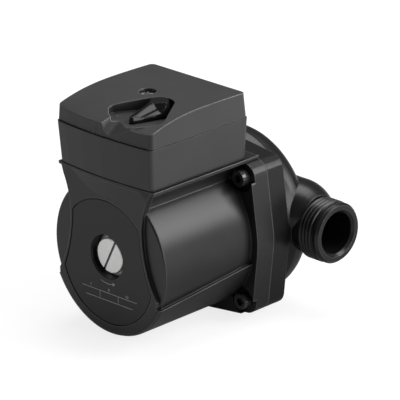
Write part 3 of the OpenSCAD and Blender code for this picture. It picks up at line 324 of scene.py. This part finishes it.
# One dark stroke on the lid, at the low speed end: painted shade in place of an engraved dash.
LOW_POINTS = [(22.3, at(1.8), 74.36), (24.1, at(3.4), 74.84), (25.9, at(5.0), 75.28)]
LID_SLOPE = (0, -0.28, 0.96)
LOW_WIDE, LOW_THICK = 1.0, 0.1
bm = bmesh.new()
strip(bm, LOW_POINTS, LOW_WIDE, LOW_THICK, LID_SLOPE)
piece("low_speed_mark", bm, looks["black_screw"], "lid")

# Thin upright notch in the front of the lid, drawn as a dark strip standing proud: painted shade in place
# of the groove.
NOTCH_X, NOTCH_Y, NOTCH_FOOT, NOTCH_TOP = -3.6, at(-1.46), 66.8, 70.0
NOTCH_WIDE, NOTCH_THICK = 0.35, 0.04
bm = bmesh.new()
ends = [(NOTCH_X, NOTCH_Y, NOTCH_FOOT), (NOTCH_X, NOTCH_Y, NOTCH_TOP)]
strip(bm, ends, NOTCH_WIDE, NOTCH_THICK, FRONT)
piece("lid_notch", bm, looks["black_screw"], "lid")

# Camera at the photograph's viewing angle
TURN, TILT, ROLL = math.radians(45.81), math.radians(21.42), math.radians(1.13)
FOCAL, REACH, SHIFT_X, SHIFT_Y = 2984.98, 1552.12, -8.82, -0.44
PHOTO_PIXELS, SENSOR = 400, 36
right = Vector((math.cos(TURN), math.sin(TURN), 0))
back = Vector((math.sin(TURN) * math.cos(TILT), -math.cos(TURN) * math.cos(TILT), math.sin(TILT)))
up = back.cross(right)
cam_x = right * math.cos(ROLL) - up * math.sin(ROLL)
cam_y = right * math.sin(ROLL) + up * math.cos(ROLL)
target = Vector((0, at(55), 15))
eye = target - cam_x * SHIFT_X - cam_y * SHIFT_Y + back * REACH
camera = bpy.data.objects.new("camera", bpy.data.cameras.new("camera"))
camera.matrix_world = Matrix((
    (cam_x.x, cam_y.x, back.x, eye.x * MM),
    (cam_x.y, cam_y.y, back.y, eye.y * MM),
    (cam_x.z, cam_y.z, back.z, eye.z * MM),
    (0, 0, 0, 1)))
camera.data.sensor_width = SENSOR
camera.data.lens = FOCAL / PHOTO_PIXELS * SENSOR
camera.data.clip_start = 0.05
camera.data.clip_end = 20
scene.collection.objects.link(camera)
scene.camera = camera

# Floor, world and soft studio lamps
FLOOR_HALF, FLOOR_GAP, FLOOR_GREY = 4, 0.0002, (0.3, 0.3, 0.3, 1)
FLOOR_SEEN, FLOOR_REFLECTION_NEAR, FLOOR_REFLECTION_FAR = 0.8, 0.04, 0.38
NEAR_REACH, FAR_REACH = 0.09, 0.17
WORLD_GLOW, WORLD_SEEN = 0.13, 1.0
floor_mesh = bpy.data.meshes.new("floor")
floor_z = cad_low.z - FLOOR_GAP
corners = [(x * FLOOR_HALF, y * FLOOR_HALF, floor_z) for x, y in ((-1, -1), (1, -1), (1, 1), (-1, 1))]
floor_mesh.from_pydata(corners, [], [(0, 1, 2, 3)])
floor = bpy.data.objects.new("floor", floor_mesh)
scene.collection.objects.link(floor)
fm = bpy.data.materials.new("floor_white")
fm.use_nodes = True
ft = fm.node_tree
ft.nodes.clear()
out = ft.nodes.new("ShaderNodeOutputMaterial")
diffuse = ft.nodes.new("ShaderNodeBsdfDiffuse")
diffuse.inputs["Color"].default_value = FLOOR_GREY
glow = ft.nodes.new("ShaderNodeEmission")
glow.inputs["Color"].default_value = (1, 1, 1, 1)
path = ft.nodes.new("ShaderNodeLightPath")
# For camera rays the floor glows evenly white as a backdrop. For glossy rays it glows as well, weakly
# near the object and more strongly farther out: a painted reflection of a lit floor, with painted shade
# near the object.
spot = ft.nodes.new("ShaderNodeNewGeometry")
reach = ft.nodes.new("ShaderNodeVectorMath")
reach.operation = "LENGTH"
ft.links.new(spot.outputs["Position"], reach.inputs[0])
reflection_fade = ft.nodes.new("ShaderNodeMapRange")
reflection_fade.inputs["From Min"].default_value = NEAR_REACH
reflection_fade.inputs["From Max"].default_value = FAR_REACH
reflection_fade.inputs["To Min"].default_value = FLOOR_REFLECTION_NEAR
reflection_fade.inputs["To Max"].default_value = FLOOR_REFLECTION_FAR
ft.links.new(reach.outputs["Value"], reflection_fade.inputs["Value"])
seen = ft.nodes.new("ShaderNodeMath")
seen.operation = "MULTIPLY"
seen.inputs[1].default_value = FLOOR_SEEN
backdrop_and_reflection_glow = ft.nodes.new("ShaderNodeMath")
backdrop_and_reflection_glow.operation = "MULTIPLY_ADD"
ft.links.new(path.outputs["Is Camera Ray"], seen.inputs[0])
ft.links.new(path.outputs["Is Glossy Ray"], backdrop_and_reflection_glow.inputs[0])
ft.links.new(reflection_fade.outputs["Result"], backdrop_and_reflection_glow.inputs[1])
ft.links.new(seen.outputs["Value"], backdrop_and_reflection_glow.inputs[2])
ft.links.new(backdrop_and_reflection_glow.outputs["Value"], glow.inputs["Strength"])
add = ft.nodes.new("ShaderNodeAddShader")
ft.links.new(diffuse.outputs["BSDF"], add.inputs[0])
ft.links.new(glow.outputs["Emission"], add.inputs[1])
ft.links.new(add.outputs["Shader"], out.inputs["Surface"])
floor_mesh.materials.append(fm)

world = bpy.data.worlds.new("studio")
scene.world = world
world.use_nodes = True
wt = world.node_tree
wt.nodes.clear()
w_out = wt.nodes.new("ShaderNodeOutputWorld")
w_back = wt.nodes.new("ShaderNodeBackground")
w_path = wt.nodes.new("ShaderNodeLightPath")
w_mix = wt.nodes.new("ShaderNodeMix")
w_mix.data_type = "FLOAT"
w_mix.inputs[2].default_value = WORLD_GLOW
w_mix.inputs[3].default_value = WORLD_SEEN
wt.links.new(w_path.outputs["Is Camera Ray"], w_mix.inputs[0])
wt.links.new(w_mix.outputs[0], w_back.inputs["Strength"])
wt.links.new(w_back.outputs["Background"], w_out.inputs["Surface"])


def lamp(name, place, aim, size, watts, size_y=None):
    """Soft rectangular lamp at a place, turned to face the aim."""
    data = bpy.data.lights.new(name, "AREA")
    data.shape = "RECTANGLE"
    data.size = size
    data.size_y = size_y or size
    data.energy = watts
    obj = bpy.data.objects.new(name, data)
    obj.location = place
    obj.rotation_mode = "QUATERNION"
    obj.rotation_quaternion = (Vector(aim) - Vector(place)).to_track_quat("-Z", "Y")
    scene.collection.objects.link(obj)


lamp("top", (-0.15, 0.3, 1.35), (0, -0.05, 0), 0.9, 12)
lamp("right_back", (0.92, 0.68, 0.78), (0.0, -0.06, 0.0), 0.7, 14, 1.0)
lamp("right", (1.35, 0.16, 0.3), (0.0, -0.05, 0.0), 0.5, 7, 0.6)
lamp("front", (-0.7, -1.2, 0.7), (0, -0.05, 0), 0.7, 2.6)

scene.view_settings.view_transform = "Standard"
